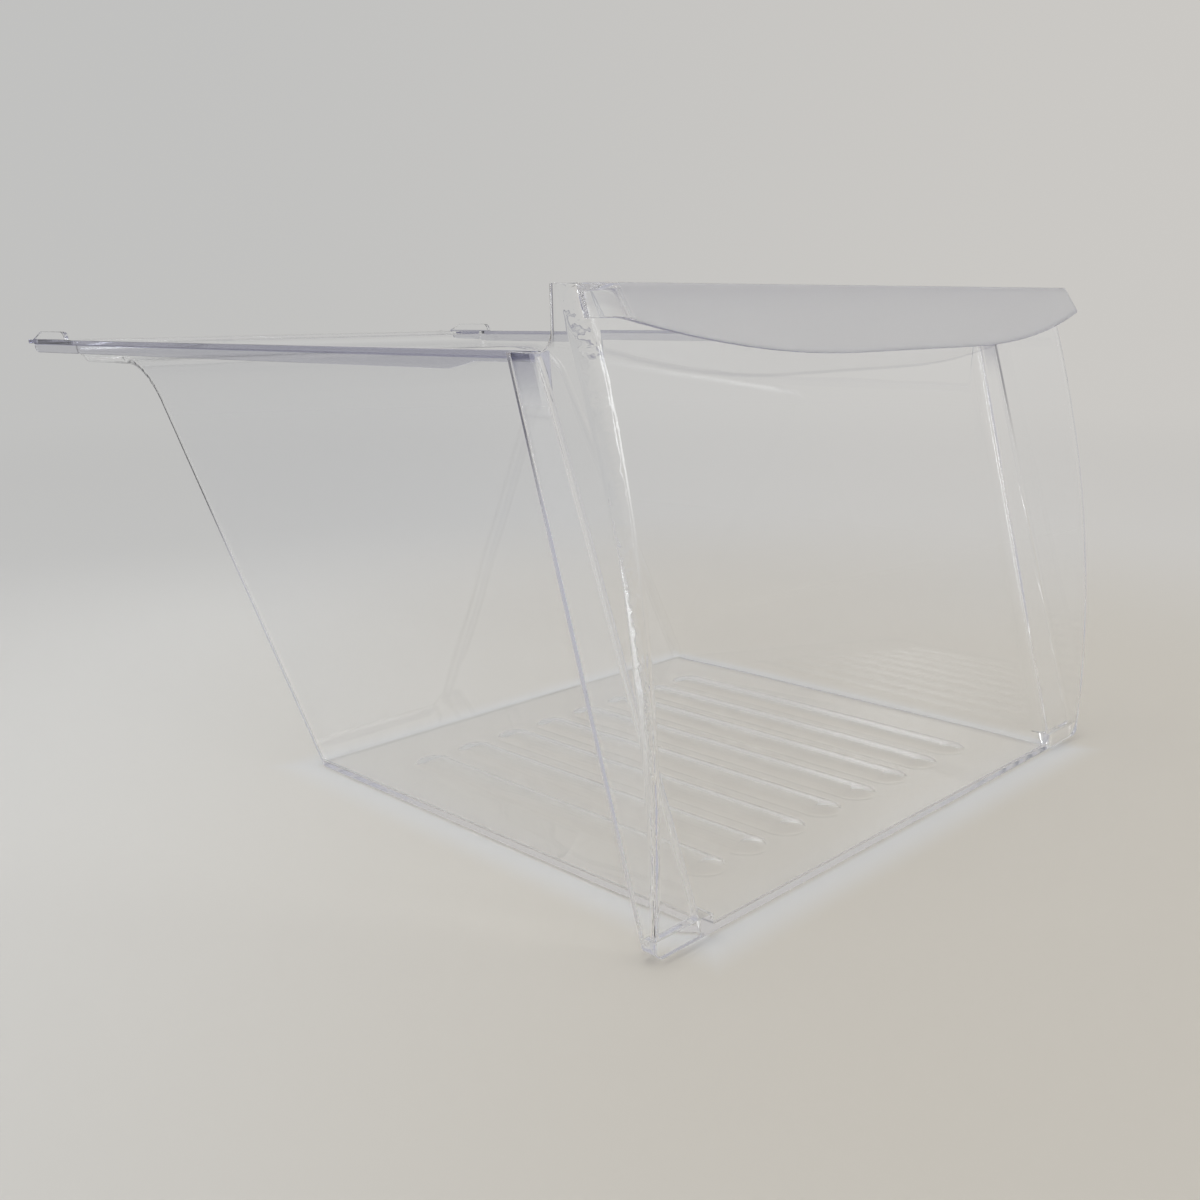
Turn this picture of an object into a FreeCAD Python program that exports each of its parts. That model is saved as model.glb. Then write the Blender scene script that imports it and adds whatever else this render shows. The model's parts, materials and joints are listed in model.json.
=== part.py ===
"""Clear one-piece crisper drawer for a refrigerator, with a finger lip along its front.

The drawer is a single injection moulding. Its front is wider than its body, so the side walls step outwards
into two wedge-shaped wings. The rear wall leans back and flares into a shallow shelf, and a flange with a
down-turned runner along each side carries the drawer on its rails.

Millimetres. +X is to the right seen from the front, +Y is towards the rear and +Z is up. The model is drawn
from the front bottom edge and then moved, so that the origin is the middle of the flat base it stands on.
"""
import FreeCAD
import Part
import math
import os
from FreeCAD import Vector

# Wall of the moulding
wall = 2.2

# Front panel and its wings
front_width = 298.0
front_draft_deg = 0.95
front_mid_set_back = 2.6
front_rim_set_back = 22.2
front_rise = 20.0
front_corner_base = 2.2
front_corner_top = 7.0
front_foot_radius = 7.0
wing_reach = 27.5
wing_base_depth = 5.5
wing_rim_depth = 38.0
wing_edge = 2.6
wing_pocket_floor = 7.0
step_radius = 4.0
cheek_depth = 16.0
cheek_fillet = 7.0

# Body of the drawer
base_depth = 227.5
side_draft_deg = 4.25
rim_height = 185.5
rear_lean_deg = 32.8
flare_radius = 40.0
shelf_drop = 11.0
shelf_corner = 8.0
shelf_length = 40.2
rear_corner = 5.0
base_edge = 1.4
floor_fillet = 2.0
rear_rim_width = 37.5

# Ridges pressed into the floor
ridge_count = 8
ridge_pitch = 24.4
ridge_width = 19.0
ridge_height = 2.0
ridge_slope_deg = 17.0
ridge_front_margin = 26.0
ridge_rear_margin = 30.0

# Side flanges with their runners
flange_overhang = 5.5
flange_thickness = 2.0
runner_depth = 6.5
runner_wall = 2.0
runner_nose_depth = 3.7
runner_nose_length = 14.0
runner_nose_gap = 27.0
runner_tail_radius = 5.0

# Stop lugs and tabs at the rear ends of the flanges
lug_set_back = 9.5
lug_length = 29.0
lug_height = 4.2
lug_width = 2.5
tab_length = 7.0
tab_width = 7.0
gusset_length = 11.0

# Finger lip that hoods the top of the front
lip_reach = 9.0
lip_lean_deg = 32.6
lip_end_inset = 2.8
lip_corner = 6.0
lip_edge = 0.9
lip_middle_drop = 22.7
lip_end_drop = 10.0
lip_flat_half = 40.0

# Amounts by which tools run past what they cut, and by which joined pieces sink into each other
clear_cut = 30.0
root_depth = 0.2
tolerance = 0.01
half_turn = 180.0

# Values that follow from the sizes above
base_width = front_width - 2 * wing_reach
front_top = rim_height + front_rise
front_tan = math.tan(math.radians(front_draft_deg))
side_tan = math.tan(math.radians(side_draft_deg))
rear_sin = math.sin(math.radians(rear_lean_deg))
rear_cos = math.cos(math.radians(rear_lean_deg))
shelf_level = rim_height - shelf_drop
flare_rise = (shelf_level - flare_radius * (1 - rear_sin)) / rear_cos
flare_end_y = base_depth + flare_radius * rear_cos + flare_rise * rear_sin
shelf_rear = flare_end_y + shelf_length + shelf_corner
rim_rear = shelf_rear + rear_rim_width
step_rim = front_rim_set_back + wing_rim_depth
step_slope = (step_rim - wing_base_depth) / rim_height
cheek_rear = front_rim_set_back + cheek_depth
flange_half = base_width / 2 + side_tan * rim_height + flange_overhang
lip_half = front_width / 2 + front_tan * front_top - lip_end_inset
reach_x = front_width
reach_y = 2 * rim_rear


def yz(y, z):
    return Vector(0, y, z)


def xz(x, z):
    return Vector(x, 0, z)


def line(start, end):
    return Part.LineSegment(start, end).toShape()


def arc(start, middle, end):
    return Part.Arc(start, middle, end).toShape()


def prism(edges, start, travel):
    """Solid swept by the closed outline in edges, moved by start and then along travel."""
    face = Part.Face(Part.Wire(edges))
    face.translate(start)
    return face.extrude(travel)


def across(edges):
    """Solid of a side view outline, swept over more than the drawer's width."""
    return prism(edges, Vector(-reach_x, 0, 0), Vector(2 * reach_x, 0, 0))


def along(edges):
    """Solid of a front view outline, swept over more than the drawer's length."""
    return prism(edges, Vector(0, -reach_y, 0), Vector(0, 2 * reach_y, 0))


def block(x_range, y_range, z_range):
    """Box between three pairs of limits."""
    size = [high - low for low, high in (x_range, y_range, z_range)]
    return Part.makeBox(*size, Vector(x_range[0], y_range[0], z_range[0]))


def both_sides(solid):
    """The solid and its mirror image in the drawer's middle plane."""
    return [solid, solid.mirror(Vector(0, 0, 0), Vector(1, 0, 0))]


front_circle = Part.Circle(
    yz(0, 0), yz(front_mid_set_back, rim_height / 2), yz(front_rim_set_back, rim_height))


def front_y(z, inset=0.0):
    """Place of the front's curved face at a height, inset towards the inside."""
    centre = front_circle.Center
    radius = front_circle.Radius - inset
    return centre.y - math.sqrt(radius ** 2 - (z - centre.z) ** 2)


def front_point(z, inset=0.0):
    return yz(front_y(z, inset), z)


def front_arc(low, high, inset=0.0):
    """The front's curved face in side view, from the height high down to low."""
    middle = (low + high) / 2
    return arc(front_point(high, inset), front_point(middle, inset), front_point(low, inset))


def body_half(z, inset=0.0):
    return base_width / 2 + side_tan * z - inset


def front_half(z, inset=0.0):
    return front_width / 2 + front_tan * z - inset


def step_y(z, inset=0.0):
    """Place of the wall that steps out from the body to the wings."""
    return wing_base_depth + step_slope * z - inset * math.hypot(1, step_slope)


def tapered(half, low, high, inset):
    """Front view outline of straight sides that open upwards."""
    corners = [xz(-half(low, inset), low), xz(half(low, inset), low),
               xz(half(high, inset), high), xz(-half(high, inset), high)]
    return [line(a, b) for a, b in zip(corners, corners[1:] + corners[:1])]


def body_profile(inset, front_inset, low, high):
    """Side view of the body: floor, leaning rear wall, flare, shelf and the short wall behind the shelf."""
    lean = Vector(0, rear_sin, rear_cos)
    inward = Vector(0, -rear_cos, rear_sin)
    up = Vector(0, 0, 1)
    flare_centre = yz(base_depth, 0) - inward * flare_radius + lean * flare_rise
    flare_out = flare_radius + inset
    flare_start = flare_centre + inward * flare_out
    flare_middle = flare_centre + (inward + up).normalize() * flare_out
    flare_end = flare_centre + up * flare_out
    foot = yz(base_depth - inset * rear_cos + (low - inset * rear_sin) * rear_sin / rear_cos, low)
    shelf_centre = yz(shelf_rear - shelf_corner, shelf_level + shelf_corner)
    bend = shelf_corner - inset
    shelf_start = shelf_centre - up * bend
    shelf_middle = shelf_centre + Vector(0, 1, -1).normalize() * bend
    shelf_end = shelf_centre + Vector(0, bend, 0)
    top = yz(shelf_end.y, high)
    return [
        line(front_point(low, front_inset), foot),
        line(foot, flare_start),
        arc(flare_start, flare_middle, flare_end),
        line(flare_end, shelf_start),
        arc(shelf_start, shelf_middle, shelf_end),
        line(shelf_end, top),
        line(top, front_point(high, front_inset)),
        front_arc(low, high, front_inset),
    ]


def edge_middle(edge):
    return edge.valueAt((edge.FirstParameter + edge.LastParameter) / 2)


def body_solid(inset, front_inset, low, high, corner, edge_radius):
    """Body of the drawer as a full solid, its rear corners and base edges rounded."""
    side_inset = inset * math.hypot(1, side_tan)
    outline = tapered(body_half, low - clear_cut, high + clear_cut, side_inset)
    solid = across(body_profile(inset, front_inset, low, high)).common(along(outline))

    def rear_corner_edge(edge):
        middle = edge_middle(edge)
        on_side = abs(abs(middle.x) - body_half(middle.z, side_inset)) < tolerance
        return on_side and middle.y > base_depth / 2 and low + tolerance < middle.z < high - tolerance

    solid = solid.makeFillet(corner, [edge for edge in solid.Edges if rear_corner_edge(edge)])

    def base_loop_edge(edge):
        return all(abs(vertex.Z - low) < tolerance for vertex in edge.Vertexes)

    return solid.makeFillet(edge_radius, [edge for edge in solid.Edges if base_loop_edge(edge)])


def round_upright(solid, radius_low, radius_high, is_edge):
    """Rounds the upright edges that is_edge picks, with a radius that changes from the foot to the top."""
    for side in (-1, 1):
        for edge in solid.Edges:
            if edge_middle(edge).x * side > 0 and is_edge(edge):
                rising = edge.firstVertex().Z < edge.lastVertex().Z
                ends = (radius_low, radius_high) if rising else (radius_high, radius_low)
                solid = solid.makeFillet(*ends, [edge])
                break
    return solid


def wing_solid(inset, low, profile, front_radii, step_edge_radius):
    """Front section with both wings as a full solid, with its upright edges rounded."""
    side_inset = inset * math.hypot(1, front_tan)
    outline = tapered(front_half, low - clear_cut, front_top + 2 * clear_cut, side_inset)
    solid = across(profile).common(along(outline))

    def on_wing_side(edge):
        middle = edge_middle(edge)
        return abs(abs(middle.x) - front_half(middle.z, side_inset)) < tolerance

    def front_edge(edge):
        middle = edge_middle(edge)
        return on_wing_side(edge) and abs(middle.y - front_y(middle.z, inset)) < tolerance

    def step_edge(edge):
        middle = edge_middle(edge)
        level = abs(edge.firstVertex().Z - edge.lastVertex().Z) < tolerance
        return on_wing_side(edge) and not level and abs(middle.y - step_y(middle.z, inset)) < tolerance

    solid = round_upright(solid, *front_radii, front_edge)
    return solid.makeFillet(step_edge_radius, [edge for edge in solid.Edges if step_edge(edge)])


def outer_wing_profile():
    """Side view of the front section from outside, with the cheeks that stand above the rim."""
    cheek_foot = yz(cheek_rear, rim_height + cheek_fillet)
    cheek_centre = yz(cheek_rear + cheek_fillet, rim_height + cheek_fillet)
    cheek_middle = cheek_centre + Vector(0, -1, -1).normalize() * cheek_fillet
    cheek_end = yz(cheek_rear + cheek_fillet, rim_height)
    top_rear = yz(cheek_rear, front_top)
    step_top = yz(step_rim, rim_height)
    step_foot = yz(wing_base_depth, 0)
    return [
        front_arc(0, front_top),
        line(front_point(0), step_foot),
        line(step_foot, step_top),
        line(step_top, cheek_end),
        arc(cheek_end, cheek_middle, cheek_foot),
        line(cheek_foot, top_rear),
        line(top_rear, front_point(front_top)),
    ]


def inner_wing_profile():
    """Side view of the space inside the wings, open at the top."""
    high = front_top + clear_cut
    low_rear = yz(step_y(wing_pocket_floor, wall), wing_pocket_floor)
    rim_end = yz(step_y(rim_height, wall), rim_height)
    top_rear = yz(rim_end.y, high)
    return [
        front_arc(wing_pocket_floor, high, wall),
        line(front_point(wing_pocket_floor, wall), low_rear),
        line(low_rear, rim_end),
        line(rim_end, top_rear),
        line(top_rear, front_point(high, wall)),
    ]


def rounded_foot():
    """Front view outline of the front section, with the two lower corners rounded."""
    high = front_top + clear_cut
    lean = math.radians(front_draft_deg)
    centre_x = front_half(front_foot_radius) - front_foot_radius / math.cos(lean)
    centre = xz(centre_x, front_foot_radius)
    out = Vector(math.cos(lean), 0, -math.sin(lean))
    down = Vector(0, 0, -1)
    side = centre + out * front_foot_radius
    middle = centre + (out + down).normalize() * front_foot_radius
    foot = centre + down * front_foot_radius
    top = xz(front_half(high), high)

    def left(point):
        return Vector(-point.x, point.y, point.z)

    return [
        line(left(foot), foot),
        arc(foot, middle, side),
        line(side, top),
        line(top, left(top)),
        line(left(top), left(side)),
        arc(left(side), left(middle), left(foot)),
    ]


def below_base_edge():
    """Sliver to cut away below the front, so that its base edge is rounded."""
    centre = yz(front_y(base_edge, base_edge), base_edge)
    outward = (centre - front_circle.Center).normalize()
    down = Vector(0, 0, -1)
    front_end = centre + outward * base_edge
    middle = centre + (outward + down).normalize() * base_edge
    base_end = centre + down * base_edge
    corners = [base_end, yz(base_end.y, -clear_cut), yz(-clear_cut, -clear_cut),
               yz(-clear_cut, front_end.z), front_end]
    edges = [line(a, b) for a, b in zip(corners, corners[1:])]
    return across(edges + [arc(front_end, middle, base_end)])


def join_step(solid, inset, radius):
    """Rounds the upright corners where the body meets the wall that steps out to the wings."""
    def step_corner(edge):
        middle = edge_middle(edge)
        on_body = abs(abs(middle.x) - body_half(middle.z, inset * math.hypot(1, side_tan))) < tolerance
        return on_body and abs(middle.y - step_y(middle.z, inset)) < tolerance

    return solid.makeFillet(radius, [edge for edge in solid.Edges if step_corner(edge)])


def outer_form():
    """The drawer's outside as a full solid."""
    body = body_solid(0, wall / 2, 0, rim_height, rear_corner, base_edge)
    wings = wing_solid(0, 0, outer_wing_profile(), (front_corner_base, front_corner_top), wing_edge)
    wings = wings.common(along(rounded_foot())).cut(below_base_edge())
    return join_step(body.fuse(wings), 0, step_radius)


def inner_form():
    """The space inside the drawer, running on past its open top."""
    body = body_solid(wall, wall, wall, rim_height + clear_cut, rear_corner - wall, floor_fillet)
    radius_rate = (front_corner_top - front_corner_base) / front_top
    low_radius = front_corner_base + radius_rate * wing_pocket_floor - wall
    high_radius = front_corner_top + radius_rate * clear_cut - wall
    front_radii = (low_radius, high_radius)
    wings = wing_solid(wall, wing_pocket_floor, inner_wing_profile(), front_radii, wing_edge - wall)
    return join_step(body.fuse(wings), wall, step_radius + wall)


def flange(inside):
    """Flat flange round the sides and the rear, at the level of the rim."""
    start = step_y(rim_height, wall / 2)
    plate = block((-flange_half, flange_half), (start, rim_rear), (rim_height - flange_thickness, rim_height))
    return plate.cut(inside)


def runner():
    """Down-turned edge of the right flange, with a tapered nose at the front and a rounded tail."""
    start = step_y(rim_height, wall / 2)
    nose = step_rim + runner_nose_gap
    full = nose + runner_nose_length
    low = rim_height - runner_depth
    tail_centre = yz(rim_rear - runner_tail_radius, low + runner_tail_radius)
    corners = [yz(start, rim_height), yz(start, rim_height - runner_nose_depth),
               yz(nose, rim_height - runner_nose_depth), yz(full, low), yz(tail_centre.y, low)]
    tail_middle = tail_centre + Vector(0, 1, -1).normalize() * runner_tail_radius
    tail_end = yz(rim_rear, tail_centre.z)
    top_end = yz(rim_rear, rim_height)
    edges = [line(a, b) for a, b in zip(corners, corners[1:])]
    edges += [arc(corners[-1], tail_middle, tail_end), line(tail_end, top_end), line(top_end, corners[0])]
    return prism(edges, Vector(flange_half - runner_wall, 0, 0), Vector(runner_wall, 0, 0))


def rear_stop():
    """Upright stop lug on the right flange's rear end, with its gusset and the thin tab behind it."""
    sunk = rim_height - flange_thickness
    lug_rear = rim_rear - lug_set_back
    lug_front = lug_rear - lug_length
    top = rim_height + lug_height
    nose_centre = yz(lug_front + lug_height, rim_height)
    nose_middle = nose_centre + Vector(0, -1, 1).normalize() * lug_height
    gusset_end = lug_rear + gusset_length
    points = [yz(lug_front + lug_height, top), yz(lug_rear, top), yz(gusset_end, rim_height),
              yz(gusset_end, sunk), yz(lug_front, sunk), yz(lug_front, rim_height)]
    edges = [line(a, b) for a, b in zip(points, points[1:])]
    edges.append(arc(points[-1], nose_middle, points[0]))
    lug = prism(edges, Vector(flange_half - lug_width, 0, 0), Vector(lug_width, 0, 0))
    tab_range = (rim_rear - wall, rim_rear + tab_length)
    tab = block((flange_half - tab_width, flange_half), tab_range, (sunk, rim_height))
    return lug.fuse(tab)


def ridge(x, base):
    """One soft floor ridge standing on the level base: a round crown, straight flanks and round ends."""
    half = ridge_width / 2
    slope = math.radians(ridge_slope_deg)
    crown_radius = (half * math.tan(slope) - ridge_height) / (1 / math.cos(slope) - 1)
    crown_low = ridge_height - crown_radius * (1 - math.cos(slope))
    crown_half_low = ridge_height - crown_radius * (1 - math.cos(slope / 2))
    middle = Vector(0, 0, 0)
    crest = xz(0, ridge_height)
    foot = xz(half, 0)
    bend = xz(crown_radius * math.sin(slope), crown_low)
    bend_left = xz(-bend.x, bend.z)
    between = xz(crown_radius * math.sin(slope / 2), crown_half_low)
    front = ridge_front_margin + half
    rear = base_depth - ridge_rear_margin - half
    outline = [line(-foot, foot), line(foot, bend), arc(bend, crest, bend_left), line(bend_left, -foot)]
    solid = prism(outline, Vector(0, front, 0), Vector(0, rear - front, 0))
    section = Part.Face(Part.Wire([
        line(middle, foot), line(foot, bend), arc(bend, between, crest), line(crest, middle)]))
    for end, turn in ((front, -half_turn), (rear, half_turn)):
        cap = section.revolve(middle, Vector(0, 0, 1), turn)
        cap.translate(Vector(0, end, 0))
        solid = solid.fuse(cap)
    solid = solid.removeSplitter()
    solid.translate(Vector(x, 0, base))
    return solid


def ridges(base):
    """The row of floor ridges, centred on the drawer."""
    first = -ridge_pitch * (ridge_count - 1) / 2
    return [ridge(first + ridge_pitch * index, base) for index in range(ridge_count)]


def lip_wedge(inset, half, corner, rear_inset, low, high):
    """Full wedge between the lip's leaning face and the front, inset from the lip's outside."""
    lean = math.tan(math.radians(lip_lean_deg))
    top_front = front_y(front_top) - lip_reach

    def lip_y(z):
        return top_front - lean * (front_top - z) + inset * math.hypot(1, lean)

    edges = [
        line(front_point(low, rear_inset), yz(lip_y(low), low)),
        line(yz(lip_y(low), low), yz(lip_y(high), high)),
        line(yz(lip_y(high), high), front_point(high, rear_inset)),
        front_arc(low, high, rear_inset),
    ]
    wedge = prism(edges, Vector(-half, 0, 0), Vector(2 * half, 0, 0))

    def leaning_corner(edge):
        middle = edge_middle(edge)
        level = abs(edge.firstVertex().Z - edge.lastVertex().Z) < tolerance
        at_end = abs(abs(middle.x) - half) < tolerance
        return at_end and not level and abs(middle.y - lip_y(middle.z)) < tolerance

    return wedge.makeFillet(corner, [edge for edge in wedge.Edges if leaning_corner(edge)])


def under_lip():
    """Front view of all that lies below the lip's lower edge: level in the middle, rising to the ends."""
    low = rim_height - clear_cut
    level = front_top - lip_middle_drop
    end_level = front_top - lip_end_drop
    end_x = lip_half - lip_corner / 2
    run = end_x - lip_flat_half
    rise = end_level - level
    radius = (run ** 2 + rise ** 2) / (2 * rise)
    half_turn = math.asin(run / radius) / 2
    flat = xz(lip_flat_half, level)
    middle = flat + xz(radius * math.sin(half_turn), radius * (1 - math.cos(half_turn)))
    end = xz(end_x, end_level)
    out = xz(reach_x, end_level)
    foot = xz(reach_x, low)

    def left(point):
        return Vector(-point.x, point.y, point.z)

    return along([
        line(left(flat), flat),
        arc(flat, middle, end),
        line(end, out),
        line(out, foot),
        line(foot, left(foot)),
        line(left(foot), left(out)),
        line(left(out), left(end)),
        arc(left(end), left(middle), left(flat)),
    ])


def finger_lip():
    """The lip: a hood with a leaning face, a flat top and rounded ends, joined to the front along its top."""
    low = rim_height - clear_cut
    outside = lip_wedge(0, lip_half, lip_corner, wall - root_depth, low, front_top)
    rear = front_y(front_top, wall - root_depth)

    def top_edge(edge):
        on_top = all(abs(vertex.Z - front_top) < tolerance for vertex in edge.Vertexes)
        return on_top and edge_middle(edge).y < rear - tolerance

    outside = outside.makeFillet(lip_edge, [edge for edge in outside.Edges if top_edge(edge)])
    inside = lip_wedge(wall, lip_half - wall, lip_corner - wall, wall, low - wall, front_top - wall)
    return outside.cut(inside).cut(under_lip())


def crisper_drawer():
    """The whole moulding as one solid, with its origin in the middle of its base."""
    inside = inner_form()
    shell = outer_form().cut(inside)
    pieces = [flange(inside), finger_lip()] + both_sides(runner()) + both_sides(rear_stop()) + ridges(wall)
    solid = shell.multiFuse(pieces)
    solid = solid.cut(ridges(0))
    solid = solid.removeSplitter()
    solid.translate(Vector(0, -base_depth / 2, 0))
    return solid


os.makedirs("parts", exist_ok=True)
drawer = crisper_drawer()
drawer.exportStep("parts/crisper_drawer.step")
print("solids", len(drawer.Solids), "valid", drawer.isValid(), "volume cm3", round(drawer.Volume / 1000, 1))
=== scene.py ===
"""Clear refrigerator crisper drawer: its moulded skin, clear plastic, stage and camera."""

import json
import math

import bmesh
import bpy
from bpy.props import FloatProperty, FloatVectorProperty, PointerProperty
from mathutils import Matrix, Vector

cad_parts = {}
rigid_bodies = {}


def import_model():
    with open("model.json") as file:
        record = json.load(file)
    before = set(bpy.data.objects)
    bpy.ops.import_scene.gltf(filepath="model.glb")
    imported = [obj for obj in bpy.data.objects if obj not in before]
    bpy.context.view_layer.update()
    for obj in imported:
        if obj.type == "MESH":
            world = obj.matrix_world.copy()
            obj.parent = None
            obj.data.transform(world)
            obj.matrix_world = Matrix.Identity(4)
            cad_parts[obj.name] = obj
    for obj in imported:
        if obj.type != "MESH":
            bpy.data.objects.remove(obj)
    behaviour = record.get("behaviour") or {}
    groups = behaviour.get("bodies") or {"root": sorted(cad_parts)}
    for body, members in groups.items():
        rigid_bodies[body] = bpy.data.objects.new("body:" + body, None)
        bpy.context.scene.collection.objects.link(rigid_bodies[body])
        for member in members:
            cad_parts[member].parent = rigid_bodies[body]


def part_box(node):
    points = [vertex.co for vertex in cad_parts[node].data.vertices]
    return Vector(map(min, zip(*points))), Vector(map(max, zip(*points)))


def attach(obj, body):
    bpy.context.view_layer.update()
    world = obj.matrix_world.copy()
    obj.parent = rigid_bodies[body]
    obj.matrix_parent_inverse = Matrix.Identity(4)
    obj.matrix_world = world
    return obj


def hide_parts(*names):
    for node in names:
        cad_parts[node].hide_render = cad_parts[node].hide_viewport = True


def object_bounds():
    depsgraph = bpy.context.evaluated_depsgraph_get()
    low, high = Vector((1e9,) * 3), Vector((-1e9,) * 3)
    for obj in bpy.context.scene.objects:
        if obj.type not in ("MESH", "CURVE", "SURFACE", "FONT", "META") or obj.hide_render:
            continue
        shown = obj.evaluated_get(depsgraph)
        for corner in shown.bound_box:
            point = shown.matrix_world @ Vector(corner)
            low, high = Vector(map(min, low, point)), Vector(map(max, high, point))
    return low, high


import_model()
cad_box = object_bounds()

bl_info = {
    "name": "Crisper Drawer",
    "version": (1, 0, 0),
    "blender": (4, 5, 0),
    "location": "3D View > Sidebar > Crisper",
    "description": "Finishes the clear moulded drawer of a refrigerator and sets its stage",
    "category": "Object",
}

DRAWER_NODE = "crisper_drawer"
DRAWER_BODY = "root"
DRAWER_PIECE = "clear_drawer"
LIP_EDGE = "lip_edge"

# The picture and the camera
IMAGE_SIDE = 1200
SENSOR_WIDTH = 36.0
NEAR_LIMIT = 0.01
FAR_LIMIT = 50.0

# Directions
PICTURE_RIGHT = (0.704, -0.710, 0.0)
ROOM_FRONT = (0.45, -0.87, 0.2)
LIP_DOWN = Vector((0.0, -0.54, -0.84))

# Places on the drawer in metres. A pair says where a mask is zero and where it is full.
LIP_LEVEL = 0.1825
LIP_LEAN = 0.4565
LIP_AHEAD = (0.0990, 0.1000)
LIP_BOTTOM = (0.1785, 0.1800)
LIP_CLEAR_END = (-0.1480, -0.1390)
LIP_EDGE_BOTTOM = 0.1780
FLANGE_SIDE = (0.1398, 0.1404)
FLANGE_FRONT = (-0.0600, -0.0560)
FLANGE_TOP = (0.1860, 0.1856)
FLANGE_ROOT = 0.1833
FLANGE_ROOT_STEP = (0.1830, 0.1835)
FLANGE_ROOT_LINE = (0.0005, 0.0001)
TAB_FRONT = (0.3345, 0.3360)
CHEEK_SIDE = (0.1470, 0.1480)
CHEEK_BOTTOM = (0.1860, 0.1930)
CHEEK_REAR = (-0.0761, -0.0757)
WING_LEAN = 0.01658
WING_SIDE = (0.1468, 0.1474)
WING_LINE = -0.1104
WING_LINE_WIDTH = (0.0009, 0.0005)
WING_FADE = (0.125, 0.165)
WING_TOP = (0.186, 0.182)
STEP_LEAN = 0.29488
FOOT_TOP = (0.005, 0.015)
FLARE_BOTTOM = (0.100, 0.140)
FLARE_FRONT = (0.080, 0.140)

# How strongly the flange's parts show the painted edge shade, and how squarely the lip's edge faces
# down
RUNNER_SHARE = 0.55
PLATE_SHARE = 0.90
ROOT_LINE_SHARE = 0.8
LIP_EDGE_FACING = 0.6

# Smudges and flow waves of the plastic
SMUDGE_SCALE = 17.0
SMUDGE_RANGE = (0.60, 0.82)
FLOW_SCALE = 21.0
WAVE_STRENGTH = 0.12
WAVE_HEIGHT = 0.0006

# Finish of the skin
ROUND_SEGMENTS = 3
FLAT_WEIGHT = 100

# Floor, in metres from its middle, and the painted band of light round the drawer's foot
FLOOR_GAP = 0.0004
FLOOR_SIDES = 96
WINDOW_LIGHT_SIDE = (0.05, -0.35)
FLOOR_FADE = (0.25, 0.75)
FLOOR_TO_WALL = (0.8, 2.2)
FLOOR_ROUGHNESS = 0.8
FLOOR_UNEVEN = 0.1
MOTTLE_SCALE = 3.0
FOOT_HALVES = (("X", 0.1215), ("Y", 0.1137))
FOOT_BEGINS = (-0.002, 0.002)
FOOT_ENDS = (0.020, 0.002)
FOOT_SHARE = 0.8

# Room, as parts of a direction
WALL_RIGHT = (-0.35, 0.45)
FRONT_WALL = (0.1, 0.9)
FRONT_RISE = (0.0, 0.40)
CEILING_RISE = (0.42, 0.80)
LIGHT_TURNS = 32

# Lamps: name, place, width, height, brightness, colour, and whether it lights the floor
LAMP_TARGET = Vector((0.0, 0.0, 0.1))
LAMP_FADE = (0.5, 0.05)
COOL_LIGHT = (0.95, 0.98, 1.0)
PLAIN_LIGHT = (1.0, 1.0, 1.0)
LAMPS = (
    ("window", (0.75, -1.75, 0.90), 0.7, 1.3, 6.0, COOL_LIGHT, False),
    ("left_strip", (-1.55, 1.0, 0.95), 0.5, 1.5, 1.5, COOL_LIGHT, False),
    ("top_panel", (-0.3, 0.2, 2.0), 1.5, 1.5, 1.6, PLAIN_LIGHT, True),
)
NODE_STEP = 160


# ---------------------------------------------------------------- settings


class MouldingSettings(bpy.types.PropertyGroup):
    """Sizes of the moulded skin"""

    weld_distance: FloatProperty(
        name="Weld distance",
        description="Corners closer than this are joined into one skin",
        default=0.000005,
        precision=6,
        unit="LENGTH",
    )
    smooth_angle: FloatProperty(
        name="Smooth angle",
        description="Edges that fold more than this stay crisp",
        default=math.radians(28),
        subtype="ANGLE",
    )
    flat_angle: FloatProperty(
        name="Flat angle",
        description="Faces that meet at less than this become one flat face",
        default=math.radians(0.2),
        subtype="ANGLE",
    )
    edge_round: FloatProperty(
        name="Edge round",
        description="Width of the soft edge that polishing leaves on the mould's corners",
        default=0.0003,
        precision=5,
        unit="LENGTH",
    )


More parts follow.
